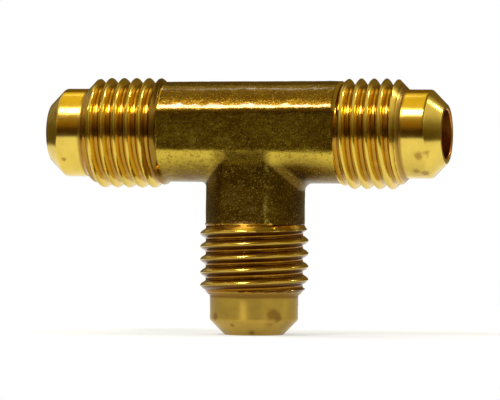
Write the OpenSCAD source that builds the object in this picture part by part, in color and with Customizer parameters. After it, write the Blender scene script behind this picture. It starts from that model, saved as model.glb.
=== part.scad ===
// Flare union tee for 1/4 in tube: one brass forging with three machined
// 45 degree flare ends. The run lies along X and the branch points down.
// The three bore axes meet at the origin.

/* [Threads] */
// Major diameter of the 7/16-20 threads
thread_d = 10.9; // [10.88:0.02:11.08]
// Threads per inch
threads_per_inch = 20; // [18:1:24]
// Clockwise turn of the right end's thread, seen from its tip, in degrees
right_start = 187; // [0:1:359]
// Clockwise turn of the left end's thread, seen from its tip, in degrees
left_start = 26; // [0:1:359]
// Clockwise turn of the branch's thread, seen from its tip, in degrees
branch_start = 315; // [0:1:359]

/* [Flare ends] */
// Distance from the centre to the tip of the right end
right_reach = 19.2; // [19:0.05:21]
// Distance from the centre to the tip of the left end
left_reach = 20.5; // [19:0.05:21]
// Distance from the centre to the tip of the branch
branch_reach = 19.7; // [19:0.05:21]
// Diameter of the plain nose between thread and cone
nose_d = 8.65; // [8.2:0.05:9]
// Length of the nose together with its cone
nose_len = 3.9; // [3:0.1:4.5]
// Diameter of the flat rim at the tip of the cone
tip_d = 5.75; // [5.1:0.05:6]
// Diameter of the bores
bore_d = 4.78; // [4.4:0.02:4.9]

/* [Forged body] */
// Diameter of the run
run_d = 9.9; // [9.7:0.05:10.4]
// Diameter of the branch
branch_d = 9.7; // [9.6:0.05:10.4]
// Distance from the centre to the start of each thread
body_reach = 9; // [8.5:0.1:10]
// Distance across the flats on the front and the back of the run
flats = 9; // [8.8:0.1:9.4]
// Distance across the flats at the end of the branch
branch_flats = 8.3; // [8.1:0.1:9]
// Radius of the fillets between the branch and the run
crotch_r = 0.8; // [0.5:0.1:1.2]

/* [Hidden] */
$fn = 96;

pitch = 25.4 / threads_per_inch;

// One pitch of the 60 degree thread form, counted in equal steps. A turn has
// as many steps, so every edge of the helix starts and ends on a step.
ROOT = 8;
FLANK = 10;
CREST = 4;
TURN = ROOT + FLANK + CREST + FLANK;
EDGES = [0, ROOT, ROOT + FLANK, ROOT + FLANK + CREST];
step = pitch / TURN;
root_r = thread_d / 2 - FLANK * step * tan(60);

// How far each threaded sleeve starts inside the body
overlap = 0.4;
// Slope of the thread's run-out at the body, from the axis
run_out = 40;
// Depth below the run's axis where the flats start to close in
draft_start = 1.5;
// Height of the small step between the nose and the thread
shoulder = 0.1;

// Height of helix edge n in column j, in steps
function edge_height(n, j) = EDGES[(n % 4 + 4) % 4] + TURN * floor(n / 4) + j;

// Radius of helix edge n before the ends are chamfered
function edge_radius(n) = (n % 4 + 4) % 4 < 2 ? root_r : thread_d / 2;

// Point on column j at height z. The thread runs out gently at the start and
// is chamfered at 45 degrees at the end.
function sleeve_point(j, z, r, start_r, end_r, length) =
    let (limited = min(r, start_r + z * tan(run_out), end_r + length - z))
    [limited * cos(j * 360 / TURN), limited * sin(j * 360 / TURN), z];

// Solid right-hand thread along +Z. Its edges run along the helix, and it is
// closed by flat polygons of radius start_r and end_r.
module thread_sleeve(steps, start_r, end_r) {
    length = steps * step;
    edges = [-4 : 4 * ceil(steps / TURN)];
    columns = [for (j = [0 : TURN - 1])
        [for (n = edges) if (edge_height(n, j) > 0 && edge_height(n, j) < steps) n]];
    offsets = [for (j = 0, total = 0; j < TURN; total = total + len(columns[j]) + 2, j = j + 1) total];
    points = [for (j = [0 : TURN - 1]) each [
        sleeve_point(j, 0, start_r, start_r, end_r, length),
        for (n = columns[j])
            sleeve_point(j, edge_height(n, j) * step, edge_radius(n), start_r, end_r, length),
        sleeve_point(j, length, end_r, start_r, end_r, length)]];
    function index(j, n) = j == TURN ? index(0, n + 4)
        : offsets[j] + max(0, min(n - columns[j][0], len(columns[j])) + 1);
    walls = [for (j = [0 : TURN - 1], n = edges)
        let (a = index(j, n), b = index(j, n + 1), c = index(j + 1, n + 1), d = index(j + 1, n))
        each [if (a != b && b != c) [a, b, c], if (c != d && d != a) [a, c, d]]];
    bottom = [for (j = [0 : TURN - 1]) offsets[j]];
    top = [for (j = [TURN - 1 : -1 : 0]) offsets[j] + len(columns[j]) + 1];
    polyhedron(points, concat(walls, [bottom, top]), convexity = 10);
}

// Threaded end along +Z with its nose and 45 degree seat cone
module flare_end(reach, body_r, start) {
    cone_len = (nose_d - tip_d) / 2;
    steps = round((reach - nose_len - body_reach + overlap) / step);
    rotate(-start)
        translate([0, 0, reach - nose_len - steps * step])
            thread_sleeve(steps, body_r - overlap * tan(run_out), nose_d / 2 + shoulder);
    translate([0, 0, body_reach - 2 * overlap])
        cylinder(h = reach - cone_len - body_reach + 2 * overlap, d = nose_d);
    translate([0, 0, reach - cone_len])
        cylinder(h = cone_len, d1 = nose_d, d2 = tip_d);
}

// Fillet that a ball rolled along the corner between branch and run leaves
// on the +X side. Its outer rows are sunk a little into both cylinders.
module crotch_fillet() {
    ARC = 6;
    STATIONS = 24;
    sink = 0.05;
    run_path = run_d / 2 + crotch_r;
    branch_path = branch_d / 2 + crotch_r;
    spread = 0.95 * min(run_path, branch_path);
    row = ARC + 2;
    points = [for (i = [0 : STATIONS])
        let (
            y = spread * sin(90 * (2 * i / STATIONS - 1)),
            ball = [sqrt(branch_path ^ 2 - y ^ 2), y, -sqrt(run_path ^ 2 - y ^ 2)],
            to_run = -[0, ball.y, ball.z] / run_path,
            to_branch = -[ball.x, ball.y, 0] / branch_path)
        each [
            for (k = [0 : ARC])
                let (aim = to_run * (1 - k / ARC) + to_branch * k / ARC)
                ball + aim / norm(aim) * (crotch_r + (k % ARC == 0 ? sink : 0)),
            0.7 * ball]];
    strips = [for (i = [0 : STATIONS - 1], k = [0 : row - 1])
        let (a = i * row + k, b = i * row + (k + 1) % row)
        each [[a, b, b + row], [a, b + row, a + row]]];
    last = STATIONS * row;
    caps = [for (k = [0 : ARC - 1])
        each [[ARC + 1, k + 1, k], [last + ARC + 1, last + k, last + k + 1]]];
    polyhedron(points, concat(strips, caps), convexity = 6);
}

// Slab between the front and back flats, which close in along the branch
module flats_slab() {
    y = flats / 2;
    branch_y = branch_flats / 2;
    rotate([90, 0, 90])
        linear_extrude(3 * body_reach, center = true)
            polygon([[y, body_reach], [y, -draft_start], [branch_y, -body_reach],
                [-branch_y, -body_reach], [-y, -draft_start], [-y, body_reach]]);
}

// Forged core: two crossed cylinders flattened at the front and the back
module forging() {
    intersection() {
        union() {
            rotate([0, 90, 0])
                cylinder(h = 2 * body_reach, d = run_d, center = true);
            mirror([0, 0, 1])
                cylinder(h = body_reach, d = branch_d);
            crotch_fillet();
            mirror([1, 0, 0])
                crotch_fillet();
        }
        flats_slab();
    }
}

module bores() {
    rotate([0, 90, 0])
        cylinder(h = 2 * left_reach + 2, d = bore_d, center = true);
    mirror([0, 0, 1])
        cylinder(h = branch_reach + 1, d = bore_d);
}

// Tee body: forging, machined ends and crossed bores in one piece of brass
module tee_body() {
    color("goldenrod")
        difference() {
            union() {
                forging();
                rotate([0, 90, 0])
                    flare_end(right_reach, run_d / 2, right_start);
                rotate([0, -90, 0])
                    flare_end(left_reach, run_d / 2, left_start);
                rotate([180, 0, 0])
                    flare_end(branch_reach, branch_d / 2, branch_start);
            }
            bores();
        }
}

tee_body();
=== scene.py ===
"""Brass flare union tee: forged T body with three machined flare ends.

Shapes are built in millimetres and scaled to metres at the end. The run lies
along X, the branch points down -Z, and the bore axes meet at the origin.
"""
from math import cos, pi, radians, sin, tan

import bmesh
import bpy
import numpy as np
from mathutils import Matrix, Vector, noise


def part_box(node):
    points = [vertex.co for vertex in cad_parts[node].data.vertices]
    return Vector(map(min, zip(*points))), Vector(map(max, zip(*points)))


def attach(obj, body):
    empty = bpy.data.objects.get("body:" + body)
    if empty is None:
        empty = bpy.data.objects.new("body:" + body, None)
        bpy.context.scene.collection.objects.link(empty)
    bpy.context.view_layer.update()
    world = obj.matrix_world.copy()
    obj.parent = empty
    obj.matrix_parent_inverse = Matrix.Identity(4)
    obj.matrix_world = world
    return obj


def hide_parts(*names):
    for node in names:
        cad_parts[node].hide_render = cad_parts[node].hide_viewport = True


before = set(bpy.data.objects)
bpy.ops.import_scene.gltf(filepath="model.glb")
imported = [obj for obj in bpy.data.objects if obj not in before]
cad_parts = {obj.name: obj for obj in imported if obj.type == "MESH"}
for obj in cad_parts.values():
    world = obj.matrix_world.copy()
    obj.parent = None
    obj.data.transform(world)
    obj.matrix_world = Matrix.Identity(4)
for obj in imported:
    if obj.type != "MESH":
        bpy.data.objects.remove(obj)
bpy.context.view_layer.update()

# Driving dimensions in millimetres, as in the CAD model
MM = 0.001
PITCH = 25.4 / 20
THREAD_R = 5.45
ROOT_R = 4.763
NOSE_R = 4.325
NOSE_LEN = 3.9
TIP_R = 2.875
BORE_R = 2.39
RUN_R = 4.95
BRANCH_R = 4.85
BODY_REACH = 9.0
FLATS_HALF = 4.5
BRANCH_FLATS_HALF = 4.15
DRAFT_START = 1.5
SHOULDER = 0.1
CAD_OVERLAP = 0.4

# Only here: how far each thread starts inside the body, and the radius from
# which the crests are worn down, on the run and on the branch
OVERLAP = 0.7
RUBBED_R = 5.44
WORN_R = 5.31

# Reach of the three ends, from the frame
low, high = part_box("tee_body")
LEFT_REACH = -low.x / MM
RIGHT_REACH = high.x / MM
BRANCH_REACH = -low.z / MM

# Clockwise turn of each thread, seen from its tip, in degrees
RIGHT_START = 187
LEFT_START = 26
BRANCH_START = 315


# ---------------------------------------------------------------- meshes

def new_mesh(name, points, faces):
    mesh = bpy.data.meshes.new(name)
    mesh.from_pydata([tuple(p) for p in points], [], faces)
    mesh.validate()
    return mesh


def new_object(name, mesh):
    piece = bpy.data.objects.new(name, mesh)
    bpy.context.scene.collection.objects.link(piece)
    return piece


def smooth_min(a, b, width):
    """Smaller of a and b, with the corner rounded over width."""
    h = max(width - abs(a - b), 0.0) / width
    return min(a, b) - h * h * width / 4


# Thread form: slope of the flanks, where in a pitch the crest's middle lies,
# half its width, and how widely crest and root are rounded
FLANK_SLOPE = tan(radians(60))
CREST_AT = 5 / 8
CREST_HALF = PITCH / 16
CREST_ROUND = 0.36
ROOT_ROUND = 0.1


def thread_radius(turn, crest_r):
    """Radius of the thread at a fraction of its pitch."""
    away = abs((turn - CREST_AT + 0.5) % 1.0 - 0.5) * PITCH
    flank = THREAD_R - (away - CREST_HALF) * FLANK_SLOPE
    crest = smooth_min(flank, crest_r, CREST_ROUND)
    return -smooth_min(-crest, -ROOT_R, ROOT_ROUND)


def arc(centre, radius, start, end, count):
    """Points (z, r) on an arc, with angles in degrees from the +z direction."""
    angles = [radians(start + (end - start) * i / count) for i in range(count + 1)]
    return [(centre[0] + radius * cos(a), centre[1] + radius * sin(a)) for a in angles]


# Radius between nose and cone, and at the rim of the tip
EDGE_ROUND = 0.35
RIM_ROUND = 0.08


def nose_outline(reach):
    """Outline (z, r) from the thread's end over the nose and cone to the tip."""
    thread_end = reach - NOSE_LEN
    cone_start = reach - (NOSE_R - TIP_R)
    back = tan(radians(22.5))
    edge_start = cone_start - EDGE_ROUND * back
    outline = [(thread_end + 0.02, NOSE_R + 0.03), (thread_end + 0.1, NOSE_R), (thread_end + 0.14, NOSE_R)]
    outline += [(z, NOSE_R) for z in np.linspace(thread_end + 0.6, edge_start - 0.1, 4)]
    outline += arc((edge_start, NOSE_R - EDGE_ROUND), EDGE_ROUND, 90, 45, 5)
    outline += arc((reach - RIM_ROUND, TIP_R - RIM_ROUND * back), RIM_ROUND, 45, 0, 3)
    return outline


# Columns in one turn of a thread, and the steps of its helix between two rows
TURN = 96
ROW = 4

# Slope of a thread's run-out outside and inside the body, how deep its start
# lies below the body's skin, how fast it sinks further in, and its rounding
OUTER_SLOPE = tan(radians(40))
INNER_SLOPE = tan(radians(58))
BURIED = 0.03
SINK = 0.5
RUN_OUT_ROUND = 0.4


def run_out(z, body_r, skin):
    """Most that the thread's radius can be at height z, where it grows out of the body's skin."""
    past = z - BODY_REACH
    cone = body_r + past * (OUTER_SLOPE if past > 0 else INNER_SLOPE)
    buried = skin - BURIED - SINK * max(-past - 0.1, 0.0)
    return -smooth_min(-cone, -buried, RUN_OUT_ROUND)


def flare_end(name, reach, body_r, flats_half, crest_r, start):
    """Closed solid along +Z: helical thread, nose and 45 degree seat cone."""
    step = PITCH / TURN
    thread_end = reach - NOSE_LEN
    steps = round((thread_end - BODY_REACH + OVERLAP) / step)
    bottom = thread_end - steps * step
    lead_in = NOSE_R + SHOULDER
    phase = (bottom - BODY_REACH + CAD_OVERLAP) / PITCH
    outline = nose_outline(reach)
    points, columns, offsets = [], [], []
    for j in range(TURN):
        angle = 2 * pi * j / TURN - radians(start)
        rows = [n for n in range(-TURN // ROW, steps // ROW + 1) if 0 < ROW * n + j < steps]
        offsets.append(len(points))
        columns.append((rows[0], len(rows)))
        skin = min(body_r, flats_half / max(abs(sin(angle)), 0.01))
        ring = [(bottom, run_out(bottom, body_r, skin))]
        for n in rows:
            z = bottom + (ROW * n + j) * step
            r = thread_radius(ROW * n / TURN + phase, crest_r)
            r = min(r, run_out(z, body_r, skin), lead_in + thread_end - z)
            ring.append((z, r))
        ring.append((thread_end, lead_in))
        ring += outline
        points += [(r * cos(angle), r * sin(angle), z) for z, r in ring]

    def index(j, n):
        """Point on row n of column j, held at the flat ends of the thread."""
        if j == TURN:
            j, n = 0, n + TURN // ROW
        first, count = columns[j]
        return offsets[j] + max(0, min(n - first, count) + 1)

    def nose_index(j, k):
        """Point k after the last row of column j: the thread's end, then the outline."""
        j %= TURN
        return offsets[j] + columns[j][1] + 1 + k

    faces = []
    for j in range(TURN):
        for n in range(-TURN // ROW - 1, steps // ROW + 2):
            a, b, c, d = index(j, n), index(j, n + 1), index(j + 1, n + 1), index(j + 1, n)
            face = [p for i, p in enumerate((a, d, c, b)) if p not in (a, d, c, b)[:i]]
            if len(face) > 2:
                faces.append(face)
        for k in range(len(outline)):
            faces.append((nose_index(j, k), nose_index(j + 1, k),
                          nose_index(j + 1, k + 1), nose_index(j, k + 1)))
    faces.append([offsets[j] for j in range(TURN)][::-1])
    faces.append([nose_index(j, len(outline)) for j in range(TURN)])
    return new_object(name, new_mesh(name, points, faces))


def revolve(name, outline, segments=TURN):
    """Closed solid of revolution about Z of an outline (z, r) whose ends are flat."""
    points = [(r * cos(2 * pi * j / segments), r * sin(2 * pi * j / segments), z)
              for j in range(segments) for z, r in outline]
    rows = len(outline)
    faces = []
    for j in range(segments):
        for k in range(rows - 1):
            a, b = j * rows + k, ((j + 1) % segments) * rows + k
            faces.append((a, b, b + 1, a + 1))
    faces.append([j * rows for j in range(segments)][::-1])
    faces.append([j * rows + rows - 1 for j in range(segments)])
    return new_object(name, new_mesh(name, points, faces))


def turned(piece, axis):
    """Turns a piece made along +Z so that it points along the axis given."""
    piece.data.transform(axis)
    return piece


# ---------------------------------------------------------------- forging

def round_union(a, b, radius):
    """Distance to two shapes together, with the corner between them filled to a radius."""
    u, v = np.maximum(radius - a, 0), np.maximum(radius - b, 0)
    return np.maximum(radius, np.minimum(a, b)) - np.hypot(u, v)


def round_cut(a, b, radius):
    """Distance to what two shapes share, with its edge rounded to a radius."""
    return -round_union(-a, -b, radius)


# How far the forging lies off the machined axes
RUN_SHIFT = 0.13
BRANCH_SHIFT = 0.08

# What the forged run's radius gains, and gains again with each millimetre of X
RUN_GAIN = 0.01
RUN_TAPER = 0.006

# Mean radius of the fillets, how much larger it is at +X than in the middle,
# and the part of it that is lost where the fillets end, this far off in Y
FILLET_R = 0.75
FILLET_CHANGE = 0.15
FILLET_LOSS = 0.55
FILLET_END = 4

# Rounding of the edges of the flats and of the forging's ends
FORGED_EDGE = 0.12


def forging_distance(p):
    """Signed distance from points to the surface of the forged body."""
    x, y, z = p.T
    run = np.hypot(y, z - RUN_SHIFT) - (RUN_R + RUN_GAIN + RUN_TAPER * x)
    branch = np.maximum(np.hypot(x - BRANCH_SHIFT, y) - BRANCH_R, z)
    lost = FILLET_LOSS * np.clip(np.abs(y) / FILLET_END, 0, 1) ** 2
    fillet = (FILLET_R + FILLET_CHANGE * np.tanh(x)) * (1 - lost)
    body = round_union(run, branch, fillet)
    draft = np.clip((-z - DRAFT_START) / (BODY_REACH - DRAFT_START), 0, 1)
    flats = np.abs(y) - FLATS_HALF + (FLATS_HALF - BRANCH_FLATS_HALF) * draft
    body = round_cut(body, flats, FORGED_EDGE)
    ends = np.maximum(np.abs(x), -z) - BODY_REACH
    return round_cut(body, ends, FORGED_EDGE)


def settle(points, distance, rounds=4):
    """Moves points onto the zero surface of a distance function."""
    eps = 1e-3
    for _ in range(rounds):
        here = distance(points)
        slope = np.stack([(distance(points + eps * e) - here) / eps for e in np.eye(3)], axis=1)
        points = points - (here / np.maximum((slope ** 2).sum(1), 0.2))[:, None] * slope
    return points, slope / np.linalg.norm(slope, axis=1, keepdims=True)


# Waves of the forging's skin: noise scale, height and offset of the noise
WAVES = ((0.45, 0.025, (0, 0, 0)), (1.5, 0.012, (9, 0, 0)), (3.2, 0.008, (0, 9, 0)))

# Width at the machined ends over which the waves fade, and size of the skin's cells
FADE = 0.6
CELL = 0.16


def skin_height(points):
    """Slight waves and dents of the forging, fading out where it meets the machined ends."""
    waves = np.zeros(len(points))
    for scale, height, offset in WAVES:
        waves += height * np.array([noise.noise(Vector(p) * scale + Vector(offset)) for p in points])
    x, _, z = points.T
    inside = np.minimum(BODY_REACH - np.abs(x), BODY_REACH + z) / FADE
    return waves * np.clip(inside, 0, 1)


def forging():
    """Forged T with its fillets, flats and uneven as-forged skin."""
    run = turned(revolve("run", [(-BODY_REACH, RUN_R), (BODY_REACH, RUN_R)]),
                 Matrix.Rotation(pi / 2, 4, "Y"))
    branch = turned(revolve("branch", [(0, BRANCH_R), (BODY_REACH, BRANCH_R)]),
                    Matrix.Rotation(pi, 4, "X"))
    body = joined(run, branch, "UNION")
    remesh = body.modifiers.new("skin", "REMESH")
    remesh.mode = "VOXEL"
    remesh.voxel_size = CELL
    bake_modifiers(body)
    points = np.empty(len(body.data.vertices) * 3)
    body.data.vertices.foreach_get("co", points)
    points, normals = settle(points.reshape(-1, 3), forging_distance)
    points += skin_height(points)[:, None] * normals
    body.data.vertices.foreach_set("co", points.ravel())
    body.data.update()
    return body


# ---------------------------------------------------------------- assembly

def bake_modifiers(piece):
    """Replaces a piece's mesh with what its modifiers make of it."""
    depsgraph = bpy.context.evaluated_depsgraph_get()
    mesh = bpy.data.meshes.new_from_object(piece.evaluated_get(depsgraph), depsgraph=depsgraph)
    piece.modifiers.clear()
    piece.data = mesh


def joined(piece, other, operation):
    """Boolean of two closed solids. The second one is used up."""
    cut = piece.modifiers.new("cut", "BOOLEAN")
    cut.solver = "MANIFOLD"
    cut.operation = operation
    cut.object = other
    bake_modifiers(piece)
    bpy.data.objects.remove(other)
    return piece


# Width of the broken edge at a bore's mouth
MOUTH = 0.1


def bore_cutter(reach, back):
    """Drill along +Z from back to just past the tip, with broken edges at the mouths."""
    outline = [(reach - MOUTH, BORE_R), (reach, BORE_R + MOUTH), (reach + 1, BORE_R + MOUTH)]
    if back < 0:
        outline = [(back - 1, BORE_R + MOUTH), (back, BORE_R + MOUTH), (back + MOUTH, BORE_R)] + outline
    else:
        outline = [(back, BORE_R)] + outline
    return revolve("drill", outline)


# Points nearer than this are one point
GAP = 0.001


def cleaned(piece):
    """Merges points that the Booleans left on top of each other, and removes faces of no area."""
    mesh = bmesh.new()
    mesh.from_mesh(piece.data)
    bmesh.ops.remove_doubles(mesh, verts=mesh.verts, dist=GAP)
    bmesh.ops.triangulate(mesh, faces=[face for face in mesh.faces if len(face.verts) > 4])
    bmesh.ops.dissolve_degenerate(mesh, edges=mesh.edges, dist=GAP)
    mesh.to_mesh(piece.data)
    mesh.free()
    return piece


def tee():
    """The whole tee in one mesh: forging, three ends and two bores."""
    right = Matrix.Rotation(pi / 2, 4, "Y")
    left = Matrix.Rotation(-pi / 2, 4, "Y")
    down = Matrix.Rotation(pi, 4, "X")
    body = forging()
    for name, reach, body_r, flats_half, crest_r, start, way in (
            ("right_end", RIGHT_REACH, RUN_R, FLATS_HALF, RUBBED_R, RIGHT_START, right),
            ("left_end", LEFT_REACH, RUN_R, FLATS_HALF, RUBBED_R, LEFT_START, left),
            ("branch_end", BRANCH_REACH, BRANCH_R, BRANCH_FLATS_HALF, WORN_R, BRANCH_START, down)):
        end = flare_end(name, reach, body_r, flats_half, crest_r, start)
        body = joined(body, turned(end, way), "UNION")
    for reach, back, way in ((RIGHT_REACH, -LEFT_REACH, right), (BRANCH_REACH, 0, down)):
        body = joined(body, turned(bore_cutter(reach, back), way), "DIFFERENCE")
    body.name = "tee"
    return cleaned(body)


FORGED, RUN_NOSE, RUN_THREAD, BRANCH_NOSE, BRANCH_THREAD, DRILLED = range(6)

# The machined finish starts this far inside the body
MACHINED = 0.2


def surface_of(centre):
    """Which finish a face has, from where it lies.

    Faces nearer the axis than the thread's root are plain, except on the left end.
    """
    x, y, z = centre
    off_run = np.hypot(y, z)
    off_branch = np.hypot(x, y) if z < 0 else np.inf
    if min(off_run, off_branch) < BORE_R + 0.05:
        return DRILLED
    if max(abs(x), -z) < BODY_REACH - MACHINED:
        return FORGED
    on_branch = -z > abs(x)
    past = -z - BRANCH_REACH if on_branch else max(x - RIGHT_REACH, -x - LEFT_REACH)
    off_axis = off_branch if on_branch else off_run
    # On the left end, faces nearer the axis than the root keep the thread's finish and its painted root
    # shade
    plain = past > -NOSE_LEN or (x > -BODY_REACH and off_axis < ROOT_R - 0.02)
    if on_branch:
        return BRANCH_NOSE if plain else BRANCH_THREAD
    return RUN_NOSE if plain else RUN_THREAD


def sharpen(mesh, limit=35):
    """Shades the mesh smooth except across edges sharper than the limit, in degrees."""
    mesh.shade_smooth()
    normals = [p.normal.copy() for p in mesh.polygons]
    faces = {}
    for p in mesh.polygons:
        for key in p.edge_keys:
            faces.setdefault(key, []).append(p.index)
    threshold = cos(radians(limit))
    sharp = [len(faces[e.key]) == 2 and normals[faces[e.key][0]].dot(normals[faces[e.key][1]]) < threshold
             for e in mesh.edges]
    mesh.attributes.new("sharp_edge", "BOOLEAN", "EDGE").data.foreach_set("value", sharp)


# ---------------------------------------------------------------- materials

class Nodes:
    """Short hand for building a node tree."""

    def __init__(self, tree):
        self.tree = tree

    def add(self, kind, inputs=None, **settings):
        """A new node. Its inputs are given by name or number, as sockets or values."""
        node = self.tree.nodes.new(kind)
        for name, value in settings.items():
            setattr(node, name, value)
        for key, value in (inputs or {}).items():
            if isinstance(value, bpy.types.NodeSocket):
                self.tree.links.new(value, node.inputs[key])
            else:
                node.inputs[key].default_value = value
        return node

    def math(self, operation, *values):
        return self.add("ShaderNodeMath", dict(enumerate(values)), operation=operation).outputs[0]

    def vector(self, operation, *values):
        return self.add("ShaderNodeVectorMath", dict(enumerate(values)), operation=operation).outputs[0]

    def length(self, value):
        return self.add("ShaderNodeVectorMath", {0: value}, operation="LENGTH").outputs["Value"]

    def part(self, value, axis):
        """One coordinate of a vector: 0 for X, 1 for Y, 2 for Z."""
        return self.add("ShaderNodeSeparateXYZ", {0: value}).outputs[axis]

    def off(self, value, centre):
        """How far a coordinate in metres lies from a centre in millimetres."""
        return self.math("ABSOLUTE", self.math("SUBTRACT", value, centre * MM))

    def noise(self, where, scale, detail=2.0, roughness=0.5):
        return self.add("ShaderNodeTexNoise", {"Vector": where, "Scale": scale, "Detail": detail,
                                               "Roughness": roughness}).outputs["Fac"]

    def stretch(self, where, scale):
        return self.vector("MULTIPLY", where, scale)

    def ramp(self, value, stops):
        """Colours or greys along a value, from stops of a position and a colour or number."""
        node = self.add("ShaderNodeValToRGB", {"Fac": value})
        ramp = node.color_ramp
        while len(ramp.elements) > 1:
            ramp.elements.remove(ramp.elements[-1])
        for i, (position, colour) in enumerate(stops):
            element = ramp.elements[0] if i == 0 else ramp.elements.new(position)
            element.position = position
            element.color = (*colour, 1) if isinstance(colour, tuple) else (colour, colour, colour, 1)
        return node.outputs["Color"]

    def mix(self, factor, a, b):
        node = self.add("ShaderNodeMix", {"Factor": factor}, data_type="RGBA")
        for key, value in ((6, a), (7, b)):
            if isinstance(value, bpy.types.NodeSocket):
                self.tree.links.new(value, node.inputs[key])
            else:
                node.inputs[key].default_value = (*value, 1)
        return node.outputs[2]

    def step(self, value, start, end, top=1.0):
        """Rises smoothly from 0 to top as the value goes from start to end."""
        limits = {"Value": value, "From Min": start, "From Max": end, "To Max": top}
        return self.add("ShaderNodeMapRange", limits, interpolation_type="SMOOTHSTEP").outputs[0]

    def step_mm(self, value, start, end, top=1.0):
        """The same for a value in metres, with start and end in millimetres."""
        return self.step(value, start * MM, end * MM, top)

    def near(self, where, centre, inner, outer, top=1.0):
        """Falls from top to 0 from inner to outer millimetres off the line along Y through the centre."""
        away = self.vector("SUBTRACT", where, tuple(c * MM for c in centre))
        away = self.length(self.stretch(away, (1.0, 0.0, 1.0)))
        return self.step_mm(away, outer, inner, top)

    def spots(self, where, places, ragged):
        """1 inside places (x, y, z, radius) in millimetres, with edges made ragged by a noise."""
        found = None
        for x, y, z, radius in places:
            away = self.length(self.vector("SUBTRACT", where, (x * MM, y * MM, z * MM)))
            away = self.math("MULTIPLY_ADD", ragged, 1.4 * radius * MM, away)
            spot = self.step_mm(away, 2.1 * radius, 1.2 * radius)
            found = self.math("MAXIMUM", found, spot) if found else spot
        return found

    def bump(self, height, strength, distance, normal=None):
        inputs = {"Height": height, "Strength": strength, "Distance": distance}
        if normal:
            inputs["Normal"] = normal
        return self.add("ShaderNodeBump", inputs).outputs[0]


def new_material(name):
    material = bpy.data.materials.new(name)
    material.use_nodes = True
    tree = material.node_tree
    return material, Nodes(tree), tree.nodes["Principled BSDF"]


def scaled(colour, factor):
    return tuple(factor * c for c in colour)


def link(nodes, shader, **inputs):
    """Links values to the shader's inputs, with underscores for the spaces in their names."""
    for name, value in inputs.items():
        nodes.tree.links.new(value, shader.inputs[name.replace("_", " ")])


# Directions of the axes that the ends are turned about
AXES = {0: (1.0, 0.0, 0.0), 2: (0.0, 0.0, 1.0)}

# Linear colours of stains mixed with painted shade at the shoulders, of rings
# of painted shade round a thread, and of painted shade on its down-facing flanks
STAIN_AND_SHADE = (0.30, 0.15, 0.025)
RING_SHADE = (0.16, 0.07, 0.006)
DOWN_FLANK_SHADE = (0.09, 0.03, 0.002)


def turned_brass(name, axis, base, stretch, gloss, stains, shoulders):
    """Bright brass turned on a lathe about an axis, 0 for X or 2 for Z.

    Stains are places (x, y, z, radius) and shoulders are places along the
    axis, all in millimetres. Each shoulder gets a ring of painted shade.
    """
    material, nodes, shader = new_material(name)
    shader.inputs["Metallic"].default_value = 1
    shader.inputs["Anisotropic"].default_value = stretch
    shader.inputs["Anisotropic Rotation"].default_value = 0.25
    where = nodes.add("ShaderNodeTexCoord").outputs["Object"]
    squash = tuple(9000.0 if a else 40.0 for a in AXES[axis])
    marks = nodes.noise(nodes.stretch(where, squash), 1.0, 3.0)
    blotch = nodes.noise(where, 420.0, 4.0, 0.6)
    tint = nodes.ramp(blotch, [(0.3, scaled(base, 0.84)), (0.5, base), (0.7, scaled(base, 1.08))])
    stain_and_shade = nodes.ramp(nodes.noise(where, 230.0, 5.0, 0.65), [(0.62, 0.0), (0.72, 0.8)])
    ragged = nodes.noise(where, 1800.0, 4.0, 0.6)
    spots = nodes.math("MULTIPLY", nodes.spots(where, stains, ragged), 0.7)
    stain_and_shade = nodes.math("MAXIMUM", stain_and_shade, spots)
    along = nodes.part(where, axis)
    # Painted shade in a ring where the nose meets its thread
    for shoulder in shoulders:
        off = nodes.off(along, shoulder)
        stain_and_shade = nodes.math("MAXIMUM", stain_and_shade, nodes.step_mm(off, 0.4, 0.1, 0.8))
    colour = nodes.mix(stain_and_shade, tint, STAIN_AND_SHADE)
    rough = nodes.math("ADD", nodes.math("MULTIPLY", blotch, 0.08), nodes.math("MULTIPLY", stain_and_shade, 0.18))
    rough = nodes.math("ADD", rough, gloss)
    normal = nodes.bump(marks, 0.08, 0.00001)
    tangent = nodes.vector("NORMALIZE", nodes.vector("CROSS_PRODUCT", where, AXES[axis]))
    link(nodes, shader, Base_Color=colour, Roughness=rough, Normal=normal, Tangent=tangent)
    return material


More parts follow.
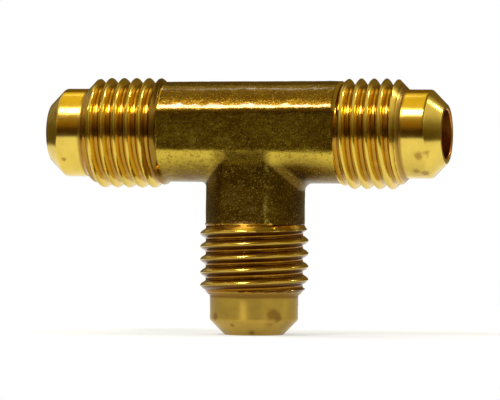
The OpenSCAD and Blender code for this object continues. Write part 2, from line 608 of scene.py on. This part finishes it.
def threaded_brass(name, axis, base, root_shade, down_shade, shade_rings):
    """Cut thread about an axis, with bright crests and painted shade in roots and rings.

    Rings are places along the axis in millimetres. Flanks that face down are
    darkened with a painted shade of the strength given.
    """
    material, nodes, shader = new_material(name)
    shader.inputs["Metallic"].default_value = 1
    where = nodes.add("ShaderNodeTexCoord").outputs["Object"]
    radius = nodes.length(nodes.stretch(where, tuple(1.0 - a for a in AXES[axis])))
    form = {"Value": radius, "From Min": ROOT_R * MM, "From Max": THREAD_R * MM}
    height = nodes.add("ShaderNodeMapRange", form).outputs[0]
    blotch = nodes.noise(where, 700.0, 4.0, 0.6)
    fine = nodes.noise(where, 5000.0, 3.0, 0.6)
    depth = nodes.math("MULTIPLY_ADD", nodes.math("SUBTRACT", blotch, 0.5), 0.5, height)
    # Painted shade, darker towards the root of the thread
    dark = tuple(c * (1 - root_shade * k) for c, k in zip(base, (0.60, 0.78, 0.95)))
    warm = tuple(c * (1 - root_shade * k) for c, k in zip(base, (0.12, 0.25, 0.5)))
    colour = nodes.ramp(depth, [(0.02, dark), (0.2, warm), (0.4, base), (1.0, scaled(base, 0.9))])
    facing = nodes.part(nodes.add("ShaderNodeTexCoord").outputs["Normal"], 2)
    # Painted shade on the flanks that face down
    colour = nodes.mix(nodes.step(facing, -0.25, -0.6, down_shade), colour, DOWN_FLANK_SHADE)
    along = nodes.part(where, axis)
    # Painted shade in rings round the thread
    for ring in shade_rings:
        colour = nodes.mix(nodes.step_mm(nodes.off(along, ring), 0.6, 0.3, 0.8), colour, RING_SHADE)
    rough = nodes.math("MULTIPLY_ADD", fine, 0.12, 0.12)
    normal = nodes.bump(fine, 0.25, 0.00002)
    link(nodes, shader, Base_Color=colour, Roughness=rough, Normal=normal)
    return material


# Linear colours of the forging's skin from dark to light, of its streaks, pits and specks, and of the
# painted shade, painted reflection and painted highlight on it
SKIN = ((0.20, 0.11, 0.005), (0.28, 0.18, 0.012), (0.36, 0.25, 0.02))
STREAK = (0.45, 0.32, 0.04)
TOP_SHADE = (0.085, 0.038, 0.001)
PALE_BAND_REFLECTION = (0.62, 0.45, 0.05)
LOWER_SHADE = (0.16, 0.085, 0.006)
MIDDLE_SHADE = (0.13, 0.065, 0.002)
CORNER_SHADE = (0.055, 0.024, 0.001)
EDGE_HIGHLIGHT = (0.50, 0.38, 0.05)
SIDE_AND_CROTCH_SHADE = (0.10, 0.05, 0.002)
PIT = (0.14, 0.075, 0.004)
SPECK = (0.60, 0.46, 0.08)


def forged_brass():
    """Dull brown gold skin of the forging: sandy grain, darker patches, painted shade and painted
    reflections.
    """
    material, nodes, shader = new_material("forged_brass")
    shader.inputs["Metallic"].default_value = 1
    shader.inputs["Coat Roughness"].default_value = 0.07
    shader.inputs["Coat IOR"].default_value = 1.7
    where = nodes.add("ShaderNodeTexCoord").outputs["Object"]
    grain = nodes.noise(where, 6500.0, 3.0, 0.65)
    dents = nodes.noise(where, 2900.0, 3.0, 0.65)
    cloud = nodes.noise(where, 520.0, 5.0, 0.7)
    x, height = nodes.part(where, 0), nodes.part(where, 2)
    tint = nodes.ramp(cloud, list(zip((0.32, 0.5, 0.68), SKIN)))

    # Streaks run along the run, and down the branch
    on_branch = nodes.step_mm(height, -4.4, -5.6)
    run_streaks = nodes.noise(nodes.stretch(where, (500.0, 4000.0, 4000.0)), 1.0, 3.0, 0.6)
    branch_streaks = nodes.noise(nodes.stretch(where, (4000.0, 4000.0, 700.0)), 1.0, 3.0, 0.6)
    streaks = nodes.mix(on_branch, run_streaks, branch_streaks)
    tint = nodes.mix(nodes.ramp(streaks, [(0.52, 0.0), (0.68, 0.55)]), tint, STREAK)

    # Painted shade on the top, a pale band of painted reflection below the highlight,
    # and painted shade on the lower part, darker still in the middle and the corners.
    # These imitate the reflections in the photo.
    top = nodes.step_mm(height, 1.4, 2.8)
    top = nodes.math("MULTIPLY", top, nodes.math("MULTIPLY_ADD", cloud, 1.0, 0.42))
    tint = nodes.mix(top, tint, TOP_SHADE)
    # Painted shade in the middle, below the run
    middle = nodes.step_mm(nodes.off(x, -0.3), 3.4, 2.2)
    middle = nodes.math("MULTIPLY", middle, nodes.step_mm(height, -1.0, -2.4))
    # Painted shade in the corner beside the branch
    corner = nodes.math("MULTIPLY", nodes.step_mm(x, -4.0, -2.6), nodes.step_mm(x, 7.2, 5.0))
    corner = nodes.math("MULTIPLY", corner, nodes.step_mm(height, -2.8, -3.4))
    # Painted reflection: a pale band below the flats
    pale_band_reflection = nodes.step_mm(height, -4.2, -2.2, 0.75)
    pale_band_reflection = nodes.math("MULTIPLY", nodes.step_mm(height, -1.5, -1.8), pale_band_reflection)
    tint = nodes.mix(pale_band_reflection, tint, PALE_BAND_REFLECTION)
    # Painted shade, darker towards the bottom
    tint = nodes.mix(nodes.step_mm(height, -2.4, -4.0, 0.3), tint, LOWER_SHADE)
    tint = nodes.mix(nodes.math("MULTIPLY", middle, 0.8), tint, MIDDLE_SHADE)
    tint = nodes.mix(nodes.math("MULTIPLY", corner, 0.68), tint, CORNER_SHADE)

    # Painted highlight in a pale line down the branch, and painted shade on its sides and in the crotches
    edge_highlight = nodes.step_mm(nodes.off(x, 2.25), 0.4, 0.05)
    edge_highlight = nodes.math("MULTIPLY", edge_highlight, nodes.step_mm(height, -2.6, -3.4))
    edge_highlight = nodes.math("MULTIPLY", edge_highlight, nodes.ramp(dents, [(0.45, 0.0), (0.6, 0.7)]))
    tint = nodes.mix(edge_highlight, tint, EDGE_HIGHLIGHT)
    # Painted shade on the branch's sides and in the crotches
    sides = nodes.math("MULTIPLY", on_branch, nodes.step_mm(nodes.off(x, 0), 2.4, 3.6))
    scale = nodes.math("MULTIPLY", sides, 0.6)
    scale = nodes.math("MAXIMUM", scale, nodes.near(where, (5.4, 0, -5.6), 1.5, 4.6, 0.75))
    scale = nodes.math("MAXIMUM", scale, nodes.near(where, (-5.2, 0, -5.6), 1.0, 4.2, 0.55))
    tint = nodes.mix(scale, tint, SIDE_AND_CROTCH_SHADE)

    # Pits and specks of the grain, and a gloss on the top
    pit = nodes.ramp(dents, [(0.36, 0.6), (0.48, 0.0)])
    colour = nodes.mix(pit, tint, PIT)
    speck = nodes.ramp(grain, [(0.58, 0.0), (0.72, 0.7)])
    colour = nodes.mix(speck, colour, SPECK)
    rough = nodes.math("MULTIPLY_ADD", grain, 0.28, 0.14)
    normal = nodes.bump(dents, 0.45, 0.00004)
    normal = nodes.bump(grain, 0.6, 0.00002, normal)
    gloss = nodes.bump(dents, 0.15, 0.00003)
    coat = nodes.step_mm(height, 0.6, 2.2, 0.75)
    coat = nodes.math("MULTIPLY", coat, nodes.math("MULTIPLY", streaks, streaks))
    coat = nodes.math("ADD", coat, 0.06)
    link(nodes, shader, Base_Color=colour, Roughness=rough, Normal=normal, Coat_Normal=gloss,
         Coat_Weight=coat)
    return material


def drilled_brass():
    """Bore wall with tarnish and coarse drill marks."""
    material, nodes, shader = new_material("drilled_brass")
    shader.inputs["Metallic"].default_value = 1
    where = nodes.add("ShaderNodeTexCoord").outputs["Object"]
    cloud = nodes.noise(where, 500.0, 4.0, 0.6)
    colour = nodes.ramp(cloud, [(0.35, (0.34, 0.10, 0.012)), (0.65, (0.62, 0.26, 0.03))])
    rough = nodes.math("ADD", nodes.math("MULTIPLY", cloud, 0.2), 0.25)
    normal = nodes.bump(nodes.noise(where, 2500.0, 2.0), 0.4, 0.00003)
    link(nodes, shader, Base_Color=colour, Roughness=rough, Normal=normal)
    return material


# ---------------------------------------------------------------- scene

# Linear colours of clean brass
RUN_BRASS = (0.70, 0.50, 0.085)
BRANCH_BRASS = (0.52, 0.34, 0.055)
BRANCH_THREAD_BRASS = (0.62, 0.42, 0.07)

# Stains on the noses: x, y, z and radius in millimetres
RUN_STAINS = [(17.2, -3.75, -2.1, 0.4), (16.7, -2.4, -3.6, 0.35), (17.5, -2.0, -3.8, 0.4),
              (-18.5, -3.4, -2.65, 0.25)]
BRANCH_STAINS = [(2.7, -3.35, -17.6, 0.6), (3.1, -2.95, -17.9, 0.5), (-3.1, -2.95, -17.9, 0.4),
                 (-1.2, -3.66, -18.67, 0.25), (0.6, -3.1, -19.45, 0.3)]

# Ring of painted shade on the left end's thread, just past the body
RUN_SHADE_RINGS = [-BODY_REACH - 0.2]

# Where each nose meets its thread, with a ring of painted shade there
RUN_SHOULDERS = [RIGHT_REACH - NOSE_LEN, NOSE_LEN - LEFT_REACH]
BRANCH_SHOULDERS = [NOSE_LEN - BRANCH_REACH]

piece = tee()
piece.data.transform(Matrix.Scale(MM, 4))
piece.data.materials.clear()
for material in (forged_brass(),
                 turned_brass("run_nose", 0, RUN_BRASS, 0.4, 0.15, RUN_STAINS, RUN_SHOULDERS),
                 threaded_brass("run_thread", 0, RUN_BRASS, 0.75, 0.0, RUN_SHADE_RINGS),
                 turned_brass("branch_nose", 2, BRANCH_BRASS, 0.97, 0.28, BRANCH_STAINS, BRANCH_SHOULDERS),
                 threaded_brass("branch_thread", 2, BRANCH_THREAD_BRASS, 0.9, 0.9, []),
                 drilled_brass()):
    piece.data.materials.append(material)
for polygon in piece.data.polygons:
    polygon.material_index = surface_of(polygon.center / MM)
sharpen(piece.data)
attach(piece, "root")
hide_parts("tee_body")

# Camera, far off with a long lens and aimed at the object's middle
AIM = Vector((-0.47, 0, -6.53)) * MM
AZIMUTH, ELEVATION, ROLL = radians(14.5), radians(0.4), radians(0.35)
DISTANCE = 480 * MM
camera = bpy.data.objects.new("camera", bpy.data.cameras.new("camera"))
bpy.context.scene.collection.objects.link(camera)
away = Vector((sin(AZIMUTH) * cos(ELEVATION), -cos(AZIMUTH) * cos(ELEVATION), sin(ELEVATION)))
camera.location = AIM + DISTANCE * away
turn = (-away).to_track_quat("-Z", "Y").to_matrix().to_4x4() @ Matrix.Rotation(ROLL, 4, "Z")
camera.rotation_euler = turn.to_euler()
camera.data.sensor_width = 36
camera.data.lens = 353
camera.data.clip_start = 10 * MM
bpy.context.scene.camera = camera

# Floor under the branch's tip, a square of twice this half width in metres
SPREAD = 0.1
corners = [(-SPREAD, -SPREAD, 0), (SPREAD, -SPREAD, 0), (SPREAD, SPREAD, 0), (-SPREAD, SPREAD, 0)]
floor = new_object("floor", new_mesh("floor", corners, [(0, 1, 2, 3)]))
floor.location.z = low.z
floor_material, _, shader = new_material("floor")
shader.inputs["Base Color"].default_value = (0.42, 0.43, 0.44, 1)
shader.inputs["Roughness"].default_value = 0.8
shader.inputs["Emission Color"].default_value = (0.96, 0.97, 1.0, 1)
shader.inputs["Emission Strength"].default_value = 0.5
floor.data.materials.append(floor_material)

# Light: a soft ceiling over a dim warm room, and a white backdrop for the camera
world = bpy.data.worlds.new("studio")
bpy.context.scene.world = world
world.use_nodes = True
nodes = Nodes(world.node_tree)
background = world.node_tree.nodes["Background"]
direction = nodes.add("ShaderNodeTexCoord").outputs["Generated"]
split = nodes.add("ShaderNodeSeparateXYZ", {0: direction})
over = nodes.math("ARCTAN2", split.outputs[2], nodes.math("MULTIPLY", split.outputs[1], -1.0))
over = nodes.math("MULTIPLY_ADD", over, 0.5 / pi, 0.5)
up = nodes.math("MULTIPLY_ADD", nodes.math("ARCSINE", split.outputs[2]), 1 / pi, 0.5)
aside = nodes.step(nodes.math("ABSOLUTE", split.outputs[0]), 0.4, 0.62)


def at(degrees):
    """Position on the ramp of a direction so far up from the front, over the top to the back."""
    return 0.5 + degrees / 360


def risen(degrees):
    """Position on the ramp of a direction so far above the horizon."""
    return 0.5 + degrees / 180


# Linear colours of the room below and behind, and at the horizon in front
DIM = (0.3, 0.24, 0.1)
DARK = (0.05, 0.022, 0.003)

strip = nodes.step(nodes.math("ABSOLUTE", nodes.math("ADD", split.outputs[0], 0.25)), 0.34, 0.14)
below = [(at(-180), DIM), (at(-90), DIM), (at(-12), DARK)]
ceiling = nodes.ramp(over, below + [
    (at(9), DARK), (at(20), (0.26, 0.13, 0.008)), (at(46), (0.5, 0.33, 0.06)),
    (at(66), (0.7, 0.52, 0.15)), (at(80), (1.05, 0.8, 0.11)), (at(126), (1.1, 0.88, 0.14)),
    (at(134), (0.2, 0.11, 0.01)), (at(180), (0.16, 0.1, 0.02))])
room = nodes.ramp(over, below + [
    (at(14), DARK), (at(40), (0.2, 0.15, 0.04)), (at(120), (0.25, 0.19, 0.05)),
    (at(180), (0.16, 0.1, 0.02))])
sides = nodes.ramp(up, [
    (risen(-90), DIM), (risen(-12), (0.10, 0.07, 0.02)), (risen(5), (0.14, 0.10, 0.03)),
    (risen(20), (0.32, 0.28, 0.17)), (risen(34), (0.95, 0.9, 0.72)), (risen(48), (1.05, 0.98, 0.75)),
    (risen(60), (0.25, 0.2, 0.08)), (risen(80), (0.25, 0.2, 0.08))])
room = nodes.mix(aside, nodes.mix(strip, room, ceiling), sides)
to_camera = nodes.add("ShaderNodeLightPath").outputs["Is Camera Ray"]
world.node_tree.links.new(nodes.mix(to_camera, room, (1.0, 1.0, 1.0)), background.inputs["Color"])
background.inputs["Strength"].default_value = 1


def softbox(name, aim_up, distance, width, height, watts, colour=(1, 1, 1), around=0):
    """Area light aimed at the origin, so far up from the front and turned round Z, in degrees."""
    lamp = bpy.data.objects.new(name, bpy.data.lights.new(name, "AREA"))
    lamp.data.shape = "RECTANGLE"
    lamp.data.size, lamp.data.size_y = width, height
    lamp.data.energy = watts
    lamp.data.color = colour
    way = Matrix.Rotation(radians(around), 3, "Z") @ Vector((0, -cos(radians(aim_up)), sin(radians(aim_up))))
    lamp.location = way * distance
    lamp.rotation_euler = (-way).to_track_quat("-Z", "Y").to_euler()
    bpy.context.scene.collection.objects.link(lamp)
    return lamp


softbox("key", 55.5, 0.5, 0.11, 0.095, 1.1, around=-25.7)
softbox("warm", 60, 0.5, 0.012, 0.08, 0.012, colour=(1.0, 0.55, 0.12), around=15.4)
softbox("back", 119, 0.5, 0.05, 0.03, 0.02, around=31)
softbox("rim", 38, 0.5, 0.03, 0.03, 0.12, around=123)
softbox("fill", 90, 0.8, 0.8, 0.8, 6.5, colour=(0.88, 0.94, 1.0)).visible_glossy = False
bpy.context.scene.view_settings.view_transform = "Standard"
